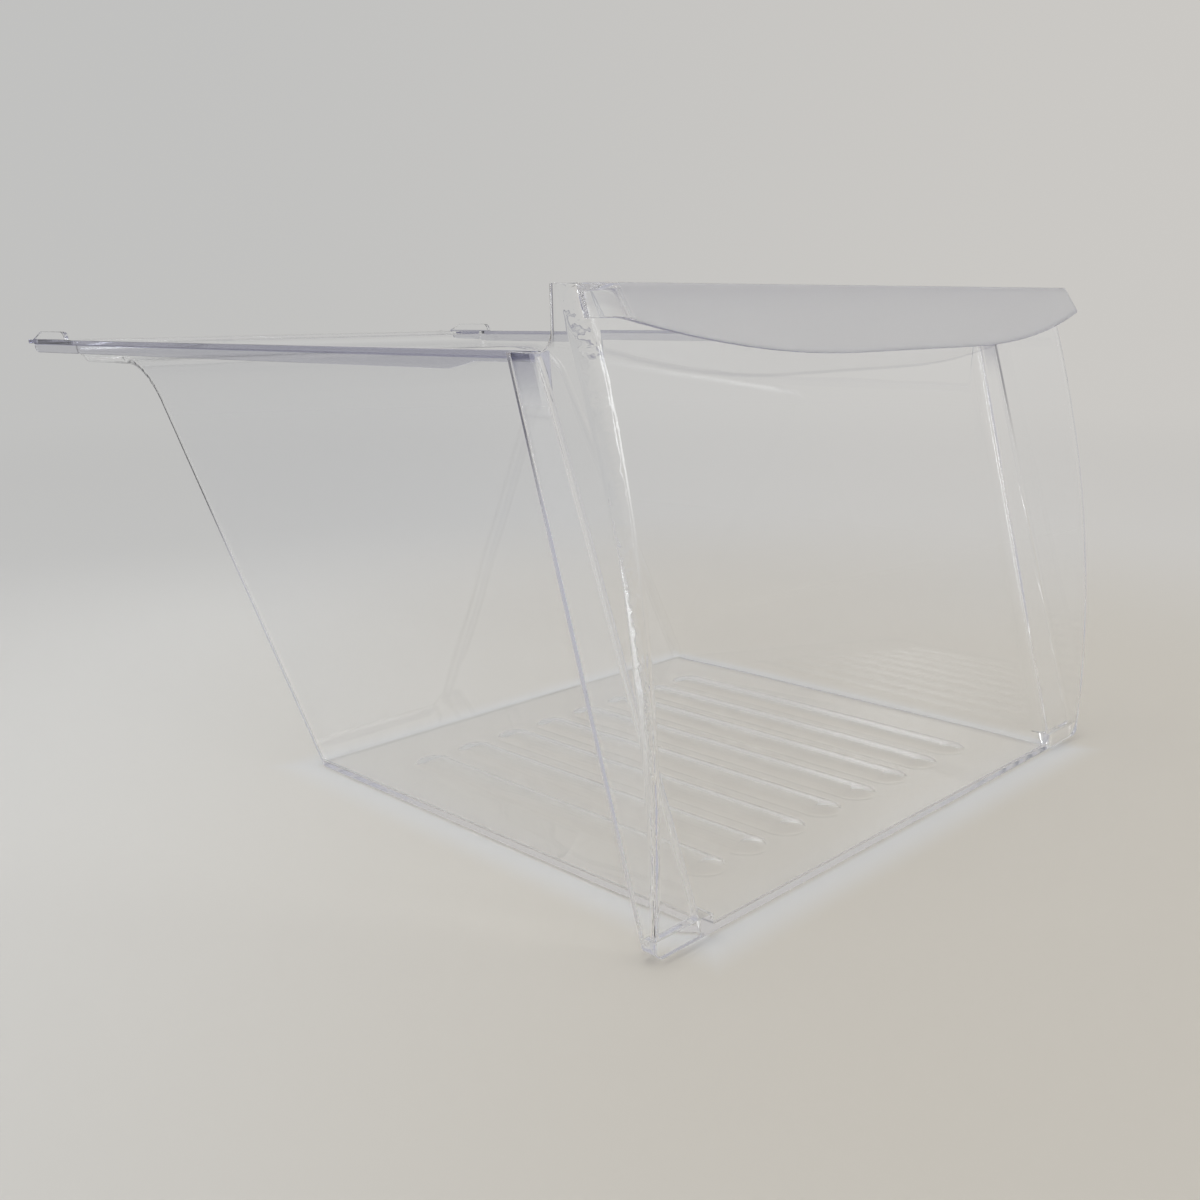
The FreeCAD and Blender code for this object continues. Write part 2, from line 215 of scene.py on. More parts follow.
class PlasticSettings(bpy.types.PropertyGroup):
    """Look of the clear plastic"""

    tint: FloatVectorProperty(
        name="Tint",
        description="Colour of light that passes the surface",
        subtype="COLOR",
        default=(0.994, 0.996, 1.0),
        min=0.0,
        max=1.0,
    )
    lip_tint: FloatVectorProperty(
        name="Lip tint",
        description="Colour of light that passes the frosted finger lip",
        subtype="COLOR",
        default=(0.89, 0.89, 0.90),
        min=0.0,
        max=1.0,
    )
    # Painted shade: a dark violet base colour on the flange's and lip's edges that stands for the
    # light and shade seen along the sheet there
    painted_edge_shade: FloatVectorProperty(
        name="Edge tint",
        description="Colour of the flange's and lip's edges, which show light from along the sheet",
        subtype="COLOR",
        default=(0.24, 0.24, 0.37),
        min=0.0,
        max=1.0,
    )
    # Painted shade: a near-black colour on the rear edges of the cheeks and wings that stands for
    # the dark lines seen along the sheet there
    painted_dark_shade: FloatVectorProperty(
        name="Dark edge tint",
        description="Colour of the dark edges of the front's upper corners and wings",
        subtype="COLOR",
        default=(0.10, 0.10, 0.13),
        min=0.0,
        max=1.0,
    )
    trapped_foot: FloatVectorProperty(
        name="Trapped light at the foot",
        description="Light that is left after many turns inside the floor and its edges",
        subtype="COLOR",
        default=(0.525, 0.51, 0.50),
        min=0.0,
        max=1.0,
    )
    trapped_light: FloatVectorProperty(
        name="Trapped light",
        description="Light that is left after many turns inside the lower walls",
        subtype="COLOR",
        default=(0.45, 0.45, 0.50),
        min=0.0,
        max=1.0,
    )
    trapped_shade: FloatVectorProperty(
        name="Trapped shade",
        description="Light that is left after many turns where the rear wall flares",
        subtype="COLOR",
        default=(0.02, 0.02, 0.03),
        min=0.0,
        max=1.0,
    )
    turns: FloatProperty(
        name="Turns",
        description="Turns inside the sheet after which light counts as trapped",
        default=18.0,
    )
    index: FloatProperty(
        name="Index",
        description="Index of refraction of clear polystyrene",
        default=1.57,
    )
    polish_low: FloatProperty(
        name="Polished roughness",
        description="Roughness where the surface is clean",
        default=0.003,
    )
    polish_high: FloatProperty(
        name="Smudged roughness",
        description="Roughness where hands have dulled the surface",
        default=0.03,
    )
    frost: FloatProperty(
        name="Frosted lip",
        description="Roughness of the textured finger lip",
        default=0.42,
    )


class StageSettings(bpy.types.PropertyGroup):
    """Floor, background and light"""

    floor_near: FloatVectorProperty(
        name="Floor near",
        description="Colour of the table under the drawer",
        subtype="COLOR",
        default=(0.55, 0.52, 0.465),
        min=0.0,
        max=1.0,
    )
    # Painted light: the table is paler and cooler on the window's side, standing for the window's
    # light falling there
    painted_window_light: FloatVectorProperty(
        name="Floor left",
        description="Colour of the table on the window's side",
        subtype="COLOR",
        default=(0.625, 0.62, 0.60),
        min=0.0,
        max=1.0,
    )
    # Painted light: a paler band on the table round the drawer's foot that stands for the light the
    # walls throw there
    painted_foot_light: FloatVectorProperty(
        name="Floor at the foot",
        description="Colour of the table where the walls throw light round the foot",
        subtype="COLOR",
        default=(0.61, 0.615, 0.615),
        min=0.0,
        max=1.0,
    )
    wall: FloatVectorProperty(
        name="Wall",
        description="Colour of the background on the left",
        subtype="COLOR",
        default=(0.535, 0.534, 0.526),
        min=0.0,
        max=1.0,
    )
    wall_front: FloatVectorProperty(
        name="Wall in front",
        description="Colour of the brighter side of the room, which the front mirrors",
        subtype="COLOR",
        default=(0.74, 0.74, 0.735),
        min=0.0,
        max=1.0,
    )
    wall_right: FloatVectorProperty(
        name="Wall right",
        description="Colour of the background on the right",
        subtype="COLOR",
        default=(0.595, 0.58, 0.555),
        min=0.0,
        max=1.0,
    )
    ceiling: FloatVectorProperty(
        name="Ceiling",
        description="Colour that the plastic mirrors from above",
        subtype="COLOR",
        default=(0.34, 0.34, 0.36),
        min=0.0,
        max=1.0,
    )
    room_light: FloatProperty(
        name="Room light",
        description="Even light from all round",
        default=0.93,
    )
    floor_radius: FloatProperty(
        name="Floor radius",
        description="Half the width of the round floor",
        default=9.0,
        unit="LENGTH",
    )


class CameraSettings(bpy.types.PropertyGroup):
    """Where the camera stands"""

    place: FloatVectorProperty(
        name="Place",
        description="Position of the camera",
        subtype="TRANSLATION",
        unit="LENGTH",
        default=(-0.40931, -0.35022, 0.19752),
        precision=5,
    )
    heading: FloatProperty(
        name="Heading",
        description="Direction that the camera looks in, from the X axis",
        default=math.radians(44.781),
        subtype="ANGLE",
    )
    tilt: FloatProperty(
        name="Tilt",
        description="How far the camera looks down",
        default=math.radians(13.010),
        subtype="ANGLE",
    )
    roll: FloatProperty(
        name="Roll",
        description="How far the camera leans to its side",
        default=math.radians(0.543),
        subtype="ANGLE",
    )
    focal_pixels: FloatProperty(
        name="Focal length in pixels",
        description="Focal length for an image of 1200 by 1200",
        default=1251.98,
    )


# ---------------------------------------------------------------- node helpers


def add(tree, kind, place=(0, 0), **inputs):
    """A node with its inputs set by name."""
    node = tree.nodes.new(kind)
    node.location = place
    for name, value in inputs.items():
        node.inputs[name.replace("_", " ")].default_value = value
    return node


def math_node(tree, operation, place, first, second=None, clamp=False):
    """A Math node whose inputs are sockets or numbers."""
    node = tree.nodes.new("ShaderNodeMath")
    node.operation = operation
    node.use_clamp = clamp
    node.location = place
    for socket, value in zip(node.inputs, (first, second)):
        if value is None:
            continue
        if isinstance(value, bpy.types.NodeSocket):
            tree.links.new(value, socket)
        else:
            socket.default_value = value
    return node.outputs[0]


def product(tree, place, *shares):
    """Several shares multiplied together."""
    result = shares[0]
    for step, share in enumerate(shares[1:]):
        spot = (place[0] + step * NODE_STEP, place[1])
        result = math_node(tree, "MULTIPLY", spot, result, share)
    return result


def ramp(tree, place, value, limits, results=(0.0, 1.0)):
    """A smooth change from one result to another between two limits."""
    node = tree.nodes.new("ShaderNodeMapRange")
    node.interpolation_type = "SMOOTHSTEP"
    node.location = place
    names = ("From Min", "From Max", "To Min", "To Max")
    for name, number in zip(names, (*limits, *results)):
        node.inputs[name].default_value = number
    tree.links.new(value, node.inputs["Value"])
    return node.outputs["Result"]


def split(tree, place, vector):
    """The X, Y and Z of a point or direction."""
    node = add(tree, "ShaderNodeSeparateXYZ", place)
    tree.links.new(vector, node.inputs[0])
    return node.outputs


def noise(tree, place, coordinates, **inputs):
    """Soft noise at a point."""
    node = add(tree, "ShaderNodeTexNoise", place, **inputs)
    tree.links.new(coordinates, node.inputs["Vector"])
    return node.outputs["Fac"]


def mix_colour(tree, place, factor, first, second):
    """A colour between two colours, which are sockets or plain colours."""
    node = tree.nodes.new("ShaderNodeMix")
    node.data_type = "RGBA"
    node.location = place
    tree.links.new(factor, node.inputs["Factor"])
    for socket, value in ((node.inputs[6], first), (node.inputs[7], second)):
        if isinstance(value, bpy.types.NodeSocket):
            tree.links.new(value, socket)
        else:
            socket.default_value = (*value, 1.0)
    return node.outputs[2]


def mix_shaders(tree, place, factor, first, second):
    """A shader between two shaders."""
    node = add(tree, "ShaderNodeMixShader", place)
    tree.links.new(factor, node.inputs["Fac"])
    tree.links.new(first, node.inputs[1])
    tree.links.new(second, node.inputs[2])
    return node.outputs["Shader"]


def fresh_material(name):
    """An empty node material and its output node."""
    material = bpy.data.materials.new(name)
    material.use_nodes = True
    material.node_tree.nodes.clear()
    output = add(material.node_tree, "ShaderNodeOutputMaterial", (900, 0))
    return material, material.node_tree, output


# ---------------------------------------------------------------- clear plastic


def lip_mask(tree, coordinates):
    """One on the hooded finger lip and zero on the rest of the drawer."""
    axes = split(tree, (-1100, -300), coordinates)
    rise = math_node(tree, "SUBTRACT", (-900, -300), axes["Z"], LIP_LEVEL)
    lean = math_node(tree, "MULTIPLY", (-740, -300), rise, LIP_LEAN)
    ahead = math_node(tree, "SUBTRACT", (-580, -300), lean, axes["Y"])
    in_front = ramp(tree, (-420, -300), ahead, LIP_AHEAD)
    high_up = ramp(tree, (-420, -480), axes["Z"], LIP_BOTTOM)
    short_of_end = ramp(tree, (-420, -660), axes["X"], LIP_CLEAR_END)
    return product(tree, (-220, -360), in_front, high_up, short_of_end)


def flange_shade_mask(tree, coordinates):
    """Share of the painted edge shade on the side flanges' outer edges and on the tabs behind them.
    """
    axes = split(tree, (-1100, 700), coordinates)
    from_middle = math_node(tree, "ABSOLUTE", (-900, 800), axes["X"])
    outside = ramp(tree, (-700, 800), from_middle, FLANGE_SIDE)
    behind_wing = ramp(tree, (-700, 620), axes["Y"], FLANGE_FRONT)
    below_lug = ramp(tree, (-700, 980), axes["Z"], FLANGE_TOP)
    plate = ramp(tree, (-700, 440), axes["Z"], FLANGE_ROOT_STEP, (RUNNER_SHARE, PLATE_SHARE))
    above_root = math_node(tree, "SUBTRACT", (-900, 260), axes["Z"], FLANGE_ROOT)
    from_root = math_node(tree, "ABSOLUTE", (-700, 260), above_root)
    root_line = ramp(tree, (-500, 260), from_root, FLANGE_ROOT_LINE, (0.0, ROOT_LINE_SHARE))
    strength = math_node(tree, "ADD", (-300, 440), plate, root_line, clamp=True)
    edge = product(tree, (-480, 800), outside, behind_wing, below_lug, strength)
    tab = ramp(tree, (-700, 1160), axes["Y"], TAB_FRONT)
    return math_node(tree, "MAXIMUM", (0, 800), edge, tab)


def cheek_shade_mask(tree, coordinates):
    """One on the narrow rear edges of the two cheeks above the rim, zero elsewhere; there a
    near-black colour paints shade.
    """
    axes = split(tree, (-1100, 1400), coordinates)
    from_middle = math_node(tree, "ABSOLUTE", (-900, 1500), axes["X"])
    outside = ramp(tree, (-700, 1500), from_middle, CHEEK_SIDE)
    high_up = ramp(tree, (-700, 1320), axes["Z"], CHEEK_BOTTOM)
    rearmost = ramp(tree, (-700, 1680), axes["Y"], CHEEK_REAR)
    return product(tree, (-480, 1500), outside, high_up, rearmost)


def wing_shade_mask(tree, coordinates):
    """One on a line along the wings' rounded rear edges, fading out below the rim; there a
    near-black colour paints shade.
    """
    axes = split(tree, (-1500, 2300), coordinates)
    from_middle = math_node(tree, "ABSOLUTE", (-1300, 2400), axes["X"])
    side_lean = math_node(tree, "MULTIPLY", (-1300, 2250), axes["Z"], WING_LEAN)
    from_side = math_node(tree, "SUBTRACT", (-1100, 2400), from_middle, side_lean)
    on_side = ramp(tree, (-700, 2400), from_side, WING_SIDE)
    step_lean = math_node(tree, "MULTIPLY", (-1300, 2100), axes["Z"], STEP_LEAN)
    from_step = math_node(tree, "SUBTRACT", (-1100, 2100), axes["Y"], step_lean)
    past_line = math_node(tree, "SUBTRACT", (-1000, 2250), from_step, WING_LINE)
    off_line = math_node(tree, "ABSOLUTE", (-860, 2250), past_line)
    on_line = ramp(tree, (-700, 2200), off_line, WING_LINE_WIDTH)
    near_rim = ramp(tree, (-700, 2000), axes["Z"], WING_FADE)
    below_rim = ramp(tree, (-700, 1840), axes["Z"], WING_TOP)
    return product(tree, (-480, 2300), on_side, on_line, near_rim, below_rim)


def trapped_glow(tree, coordinates, settings):
    """A glow that stands for the light that is left after many turns inside the sheet."""
    axes = split(tree, (-1100, 2800), coordinates)
    above_foot = ramp(tree, (-900, 2800), axes["Z"], FOOT_TOP)
    high_up = ramp(tree, (-900, 2600), axes["Z"], FLARE_BOTTOM)
    far_back = ramp(tree, (-900, 3000), axes["Y"], FLARE_FRONT)
    at_flare = product(tree, (-700, 2700), high_up, far_back)
    colour = mix_colour(
        tree, (380, 900), above_foot, settings.trapped_foot, settings.trapped_light
    )
    colour = mix_colour(tree, (560, 900), at_flare, colour, settings.trapped_shade)
    glow = add(tree, "ShaderNodeEmission", (740, 200))
    tree.links.new(colour, glow.inputs["Color"])
    return glow.outputs["Emission"]


def clear_plastic(settings):
    """Polished clear polystyrene with faint flow waves, hand smudges and a frosted lip, and painted
    shade on its edges.
    """
    material, tree, output = fresh_material("clear_polystyrene")
    place = add(tree, "ShaderNodeTexCoord", (-1500, 0)).outputs["Object"]

    lip = lip_mask(tree, place)
    smudge = noise(tree, (-900, 200), place, Scale=SMUDGE_SCALE, Detail=2.0, Roughness=0.6)
    polish = ramp(
        tree, (-600, 200), smudge, SMUDGE_RANGE, (settings.polish_low, settings.polish_high)
    )
    frosted = math_node(tree, "MULTIPLY", (-60, -300), lip, settings.frost)
    roughness = math_node(tree, "MAXIMUM", (120, 60), polish, frosted)

    flow = noise(tree, (-900, -700), place, Scale=FLOW_SCALE, Detail=0.0)
    waves = add(tree, "ShaderNodeBump", (120, -600), Strength=WAVE_STRENGTH, Distance=WAVE_HEIGHT)
    tree.links.new(flow, waves.inputs["Height"])

    # Painted shade: the cheeks' and wings' rear edges take a near-black colour
    dark_shade_share = math_node(
        tree, "MAXIMUM", (200, 500), cheek_shade_mask(tree, place), wing_shade_mask(tree, place)
    )
    lip_edge = add(tree, "ShaderNodeAttribute", (200, 700))
    lip_edge.attribute_name = LIP_EDGE
    # Painted shade: the flange's outer edges, the rear tabs and the lip's lower edge take a dark
    # violet colour
    flange_shade = flange_shade_mask(tree, place)
    colour = mix_colour(tree, (200, 300), lip, settings.tint, settings.lip_tint)
    colour = mix_colour(tree, (380, 300), flange_shade, colour, settings.painted_edge_shade)
    colour = mix_colour(tree, (380, 500), dark_shade_share, colour, settings.painted_dark_shade)
    colour = mix_colour(tree, (380, 700), lip_edge.outputs["Fac"], colour, settings.painted_edge_shade)
    surface = add(
        tree, "ShaderNodeBsdfPrincipled", (560, 0), IOR=settings.index, Transmission_Weight=1.0
    )
    tree.links.new(colour, surface.inputs["Base Color"])
    tree.links.new(roughness, surface.inputs["Roughness"])
    tree.links.new(waves.outputs["Normal"], surface.inputs["Normal"])

    turns = add(tree, "ShaderNodeLightPath", (560, 400)).outputs["Ray Depth"]
    trapped = math_node(tree, "GREATER_THAN", (740, 400), turns, settings.turns)
    glow = trapped_glow(tree, place, settings)
    seen = mix_shaders(tree, (820, 0), trapped, surface.outputs["BSDF"], glow)
    tree.links.new(seen, output.inputs["Surface"])
    return material


# ---------------------------------------------------------------- moulded skin


def skin_nodes():
    """Geometry nodes that weld loose triangles into one smooth skin with crisp corners."""
    tree = bpy.data.node_groups.new("moulded_skin", "GeometryNodeTree")
    tree.interface.new_socket("Geometry", in_out="INPUT", socket_type="NodeSocketGeometry")
    tree.interface.new_socket("Weld Distance", in_out="INPUT", socket_type="NodeSocketFloat")
    tree.interface.new_socket("Smooth Angle", in_out="INPUT", socket_type="NodeSocketFloat")
    tree.interface.new_socket("Plastic", in_out="INPUT", socket_type="NodeSocketMaterial")
    tree.interface.new_socket("Geometry", in_out="OUTPUT", socket_type="NodeSocketGeometry")

    given = add(tree, "NodeGroupInput", (-700, 0))
    weld = add(tree, "GeometryNodeMergeByDistance", (-450, 0))
    fold = add(tree, "GeometryNodeInputMeshEdgeAngle", (-450, -250))
    gentle = add(tree, "FunctionNodeCompare", (-250, -250))
    gentle.data_type = "FLOAT"
    gentle.operation = "LESS_THAN"
    edges = add(tree, "GeometryNodeSetShadeSmooth", (0, 0))
    edges.domain = "EDGE"
    faces = add(tree, "GeometryNodeSetShadeSmooth", (200, 0))
    faces.domain = "FACE"
    realise = add(tree, "GeometryNodeRealizeInstances", (400, 0))
    paint = add(tree, "GeometryNodeSetMaterial", (600, 0))
    result = add(tree, "NodeGroupOutput", (800, 0))

    link = tree.links.new
    link(given.outputs["Geometry"], weld.inputs["Geometry"])
    link(given.outputs["Weld Distance"], weld.inputs["Distance"])
    link(fold.outputs["Unsigned Angle"], gentle.inputs["A"])
    link(given.outputs["Smooth Angle"], gentle.inputs["B"])
    link(weld.outputs["Geometry"], edges.inputs["Geometry"])
    link(gentle.outputs["Result"], edges.inputs["Shade Smooth"])
    link(edges.outputs["Geometry"], faces.inputs["Geometry"])
    link(faces.outputs["Geometry"], realise.inputs["Geometry"])
    link(realise.outputs["Geometry"], paint.inputs["Geometry"])
    link(given.outputs["Plastic"], paint.inputs["Material"])
    link(paint.outputs["Geometry"], result.inputs["Geometry"])
    return tree


def set_input(modifier, name, value):
    """Set a geometry nodes modifier's input by the socket's identifier."""
    for item in modifier.node_group.interface.items_tree:
        if item.in_out == "INPUT" and item.name == name:
            modifier[item.identifier] = value
            return
    raise RuntimeError(f"the node tree has no input named {name}")


def applied_mesh(piece, name):
    """The piece's mesh with its modifiers applied."""
    graph = bpy.context.evaluated_depsgraph_get()
    mesh = bpy.data.meshes.new_from_object(piece.evaluated_get(graph))
    mesh.name = name
    piece.modifiers.clear()
    piece.data = mesh
    return mesh


def join_flats(mesh, angle):
    """Join the triangles of each flat face, so that soft edges run cleanly round it."""
    work = bmesh.new()
    work.from_mesh(mesh)
    bmesh.ops.dissolve_limit(
        work,
        angle_limit=angle,
        use_dissolve_boundaries=False,
        verts=work.verts,
        edges=work.edges,
    )
    work.to_mesh(mesh)
    work.free()


def hold_inside(mesh):
    """Keep every corner of the skin inside the drawer's own box."""
    low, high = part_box(DRAWER_NODE)
    for vertex in mesh.vertices:
        vertex.co = [min(max(c, a), b) for c, a, b in zip(vertex.co, low, high)]


def mark_painted_lip_shade(mesh):
    """Mark the narrow lower edge of the finger lip on the faces of the skin, where the painted edge
    shade goes.
    """
    marks = mesh.attributes.new(LIP_EDGE, "FLOAT", "FACE").data
    for face, mark in zip(mesh.polygons, marks):
        middle = face.center
        in_front = LIP_LEAN * (middle.z - LIP_LEVEL) - middle.y > LIP_AHEAD[0]
        faces_down = face.normal.dot(LIP_DOWN) > LIP_EDGE_FACING
        high_up = middle.z > LIP_EDGE_BOTTOM
        mark.value = 1.0 if in_front and faces_down and high_up else 0.0


class CRISPER_OT_moulding(bpy.types.Operator):
    """Weld, smooth and polish the drawer's skin and give it clear plastic"""

    bl_idname = "crisper.moulding"
    bl_label = "Make the moulded drawer"

    def execute(self, context):
        settings = context.scene.crisper_moulding
        plastic = clear_plastic(context.scene.crisper_plastic)
        source = next(
            item
            for item in bpy.data.objects
            if item.type == "MESH" and item.name.startswith(DRAWER_NODE)
        )
        piece = bpy.data.objects.new(DRAWER_PIECE, source.data.copy())
        piece.data.materials.clear()
        context.collection.objects.link(piece)

        skin = piece.modifiers.new("moulded_skin", "NODES")
        skin.node_group = skin_nodes()
        set_input(skin, "Weld Distance", settings.weld_distance)
        set_input(skin, "Smooth Angle", settings.smooth_angle)
        set_input(skin, "Plastic", plastic)
        applied_mesh(piece, DRAWER_PIECE)
        join_flats(piece.data, settings.flat_angle)

        edge = piece.modifiers.new("soft_edge", "BEVEL")
        edge.width = settings.edge_round
        edge.segments = ROUND_SEGMENTS
        edge.limit_method = "ANGLE"
        edge.angle_limit = settings.smooth_angle
        edge.use_clamp_overlap = False
        normals = piece.modifiers.new("true_flats", "WEIGHTED_NORMAL")
        normals.mode = "FACE_AREA"
        normals.weight = FLAT_WEIGHT
        normals.keep_sharp = True
        applied_mesh(piece, DRAWER_PIECE)
        hold_inside(piece.data)
        mark_painted_lip_shade(piece.data)

        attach(piece, DRAWER_BODY)
        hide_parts(DRAWER_NODE)
        return {"FINISHED"}


# ---------------------------------------------------------------- stage


def along_axis(tree, place, vector, axis):
    """How far a point or direction lies along an axis."""
    node = tree.nodes.new("ShaderNodeVectorMath")
    node.operation = "DOT_PRODUCT"
    node.location = place
    node.inputs[1].default_value = axis
    tree.links.new(vector, node.inputs[0])
    return node.outputs["Value"]


def wall_tone(tree, place, bearing, settings):
    """The wall's colour, a little lighter and warmer towards the right."""
    share = ramp(tree, place, bearing, WALL_RIGHT)
    spot = (place[0] + NODE_STEP, place[1])
    return mix_colour(tree, spot, share, settings.wall, settings.wall_right)


def foot_light(tree, coordinates):
    """Share of the painted band of light that stands for what the drawer's walls throw on the table
    round its foot.
    """
    axes = split(tree, (-1600, 900), coordinates)
    beyond = []
    for row, (axis, half) in enumerate(FOOT_HALVES):
        spot = (-1400, 800 + row * NODE_STEP)
        from_middle = math_node(tree, "ABSOLUTE", spot, axes[axis])
        beyond.append(math_node(tree, "SUBTRACT", (-1200, spot[1]), from_middle, half))
    outside = math_node(tree, "MAXIMUM", (-1000, 900), *beyond)
    begins = ramp(tree, (-800, 1000), outside, FOOT_BEGINS)
    ends = ramp(tree, (-800, 800), outside, FOOT_ENDS, (0.0, FOOT_SHARE))
    return product(tree, (-600, 900), begins, ends)


def floor_material(settings):
    """Pale matt table, with painted window light on the left and a painted band of light round the
    drawer's foot, that turns into the wall's grey with distance.
    """
    material, tree, output = fresh_material("pale_table")
    place = add(tree, "ShaderNodeTexCoord", (-1200, 0)).outputs["Object"]
    distance = add(tree, "ShaderNodeVectorMath", (-1000, 0))
    distance.operation = "LENGTH"
    tree.links.new(place, distance.inputs[0])
    reach = distance.outputs["Value"]
    side = along_axis(tree, (-1000, 300), place, PICTURE_RIGHT)

    # Painted window light: the table turns paler and cooler towards the left
    window_light_share = ramp(tree, (-600, 500), side, WINDOW_LIGHT_SIDE)
    near = mix_colour(tree, (-450, 300), window_light_share, settings.floor_near, settings.painted_window_light)
    # Painted light: a paler band round the drawer's foot
    near = mix_colour(tree, (-300, 300), foot_light(tree, place), near, settings.painted_foot_light)
    bearing = math_node(tree, "DIVIDE", (-800, 700), side, reach)
    wall_colour = wall_tone(tree, (-600, 700), bearing, settings)
    far_share = ramp(tree, (-600, 0), reach, FLOOR_FADE)
    colour = mix_colour(tree, (-300, 0), far_share, near, wall_colour)

    mottle = noise(tree, (-1000, -300), place, Scale=MOTTLE_SCALE, Detail=3.0)
    uneven = math_node(tree, "MULTIPLY", (-800, -200), mottle, FLOOR_UNEVEN)
    roughness = math_node(tree, "ADD", (-300, -250), uneven, FLOOR_ROUGHNESS)
    matt = add(tree, "ShaderNodeBsdfPrincipled", (0, 0))
    tree.links.new(colour, matt.inputs["Base Color"])
    tree.links.new(roughness, matt.inputs["Roughness"])

    wall = add(tree, "ShaderNodeEmission", (0, -450))
    tree.links.new(wall_colour, wall.inputs["Color"])
    wall_share = ramp(tree, (-300, -450), reach, FLOOR_TO_WALL)
    seen = mix_shaders(tree, (500, 0), wall_share, matt.outputs["BSDF"], wall.outputs["Emission"])
    tree.links.new(seen, output.inputs["Surface"])
    return material


def make_floor(context, settings):
    """A round floor just under the drawer."""
    work = bmesh.new()
    bmesh.ops.create_circle(
        work, cap_ends=True, segments=FLOOR_SIDES, radius=settings.floor_radius
    )
    mesh = bpy.data.meshes.new("pale_floor")
    work.to_mesh(mesh)
    work.free()
    mesh.materials.append(floor_material(settings))
    floor = bpy.data.objects.new("pale_floor", mesh)
    floor.location.z = cad_box[0][2] - FLOOR_GAP
    context.collection.objects.link(floor)


def room_colour(tree, mirrored, settings):
    """The room's colour in a direction: a pale wall, and where it is mirrored also a bright
    front and a dim ceiling."""
    direction = add(tree, "ShaderNodeTexCoord", (-1000, -300)).outputs["Generated"]
    axes = split(tree, (-800, -300), direction)
    across = along_axis(tree, (-800, -600), direction, PICTURE_RIGHT)
    wall = wall_tone(tree, (-550, -600), across, settings)
    forward = along_axis(tree, (-800, -850), direction, ROOM_FRONT)
    front_share = ramp(tree, (-550, -850), forward, FRONT_WALL)
    above_floor = ramp(tree, (-550, -1050), axes["Z"], FRONT_RISE)
    front = product(tree, (-450, -950), front_share, above_floor, mirrored)
    room = mix_colour(tree, (-250, -700), front, wall, settings.wall_front)
    upward = ramp(tree, (-550, -300), axes["Z"], CEILING_RISE)
    dim = product(tree, (-350, -100), upward, mirrored)
    return mix_colour(tree, (-100, -200), dim, room, settings.ceiling)


def make_world(context, settings):
    """Even room light, and a picture of the room for what is seen or mirrored."""
    world = bpy.data.worlds.new("soft_room")
    context.scene.world = world
    world.use_nodes = True
    world.cycles.sampling_method = "NONE"
    tree = world.node_tree
    tree.nodes.clear()
    output = add(tree, "ShaderNodeOutputWorld", (800, 0))

    rays = add(tree, "ShaderNodeLightPath", (-1000, 300)).outputs
    mirrored = math_node(tree, "MINIMUM", (-750, 120), rays["Glossy Depth"], 1.0)
    glass_or_gloss = math_node(
        tree, "ADD", (-750, 300), rays["Is Glossy Ray"], rays["Is Transmission Ray"]
    )
    direct = math_node(
        tree, "ADD", (-550, 300), glass_or_gloss, rays["Is Camera Ray"], clamp=True
    )
    not_bounced = math_node(
        tree, "SUBTRACT", (-550, 480), 1.0, rays["Diffuse Depth"], clamp=True
    )
    shown = product(tree, (-350, 380), direct, not_bounced)

    light = add(
        tree,
        "ShaderNodeBackground",
        (200, 150),
        Color=(*PLAIN_LIGHT, 1.0),
        Strength=settings.room_light,
    )
    picture = add(tree, "ShaderNodeBackground", (200, -150))
    tree.links.new(room_colour(tree, mirrored, settings), picture.inputs["Color"])
    seen = mix_shaders(
        tree, (500, 0), shown, light.outputs["Background"], picture.outputs["Background"]
    )
    tree.links.new(seen, output.inputs["Surface"])


def clear_view_limits(cycles):
    """Let light pass many clear walls, and keep walls clear to light from the floor."""
    cycles.max_bounces = LIGHT_TURNS
    cycles.glossy_bounces = LIGHT_TURNS
    cycles.transmission_bounces = LIGHT_TURNS
    cycles.blur_glossy = 0.0


def fade_edges(data):
    """Let the lamp's light fade towards its edges, so that its mirror image has no outline."""
    data.use_nodes = True
    tree = data.node_tree
    tree.nodes.clear()
    output = add(tree, "ShaderNodeOutputLight", (600, 0))
    on_lamp = add(tree, "ShaderNodeTexCoord", (-800, 0)).outputs["UV"]
    axes = split(tree, (-600, 0), on_lamp)
    shares = []
    for axis, row in (("X", 0), ("Y", -200)):
        offset = math_node(tree, "SUBTRACT", (-400, row), axes[axis], 0.5)
        from_middle = math_node(tree, "ABSOLUTE", (-200, row), offset)
        shares.append(ramp(tree, (0, row), from_middle, LAMP_FADE))
    glow = add(tree, "ShaderNodeEmission", (400, 0))
    tree.links.new(product(tree, (200, 0), *shares), glow.inputs["Strength"])
    tree.links.new(glow.outputs["Emission"], output.inputs["Surface"])


def soft_lamp(context, name, place, width, height, brightness, colour, lights_floor):
    """A rectangular soft lamp aimed at the drawer, which the plastic mirrors as a streak."""
    data = bpy.data.lights.new(name, "AREA")
    data.shape = "RECTANGLE"
    data.size = width
    data.size_y = height
    data.energy = brightness * math.pi * width * height
    data.color = colour
    fade_edges(data)
    lamp = bpy.data.objects.new(name, data)
    lamp.location = place
    lamp.rotation_euler = (LAMP_TARGET - Vector(place)).to_track_quat("-Z", "Y").to_euler()
    lamp.visible_camera = False
    lamp.visible_diffuse = lights_floor
    context.collection.objects.link(lamp)


class CRISPER_OT_stage(bpy.types.Operator):
    """Make the floor, the room and the lamps"""

    bl_idname = "crisper.stage"
    bl_label = "Make the stage"

    def execute(self, context):
        settings = context.scene.crisper_stage
        context.scene.view_settings.view_transform = "Standard"
        clear_view_limits(context.scene.cycles)
        make_floor(context, settings)
        make_world(context, settings)
        for lamp in LAMPS:
            soft_lamp(context, *lamp)
        return {"FINISHED"}


